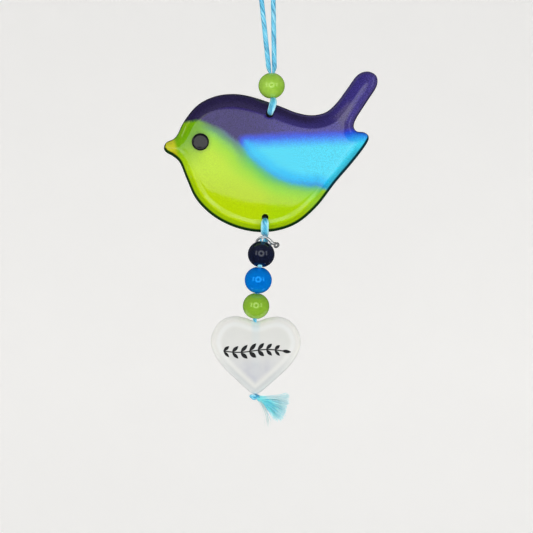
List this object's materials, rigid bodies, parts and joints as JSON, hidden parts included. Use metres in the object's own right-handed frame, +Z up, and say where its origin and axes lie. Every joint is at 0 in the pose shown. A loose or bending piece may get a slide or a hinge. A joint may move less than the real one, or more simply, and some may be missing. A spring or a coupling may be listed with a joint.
{
  "type": "fused glass bird suncatcher",
  "caption": "Flat fused glass bird with a rounded edge, hung on a floss cord through a glass bead, with glass beads, a glass heart and a tassel on a string below it.",
  "frame": {"origin": "where the hanging loop rests on its hook, at the top of the loop", "axes": "+Z is up along the hanging object, the bird's glossy front faces -Y, its beak points to -X"},
  "size_m": [0.0832, 0.0132, 0.2042],
  "materials": {
    "floss": "satin floss, turquoise",
    "bird_glass": "glossy fused glass, lime, cyan and violet",
    "black_glass": "glossy black glass",
    "green_glass": "glossy translucent green glass",
    "navy_glass": "glossy navy glass",
    "blue_glass": "glossy blue glass",
    "frosted_glass": "frosted white translucent glass",
    "steel": "bright bent wire"
  },
  "bodies": {
    "root": {"hanging_cord": "floss", "top_bead": "green_glass", "bird": "bird_glass", "eye": "black_glass", "lower_loop": "floss", "wire_ring": "steel", "navy_bead": "navy_glass", "blue_bead": "blue_glass", "green_bead": "green_glass", "heart": "frosted_glass", "bead_string": "floss", "knot": "floss", "tassel": "floss"}
  },
  "joints": []
}
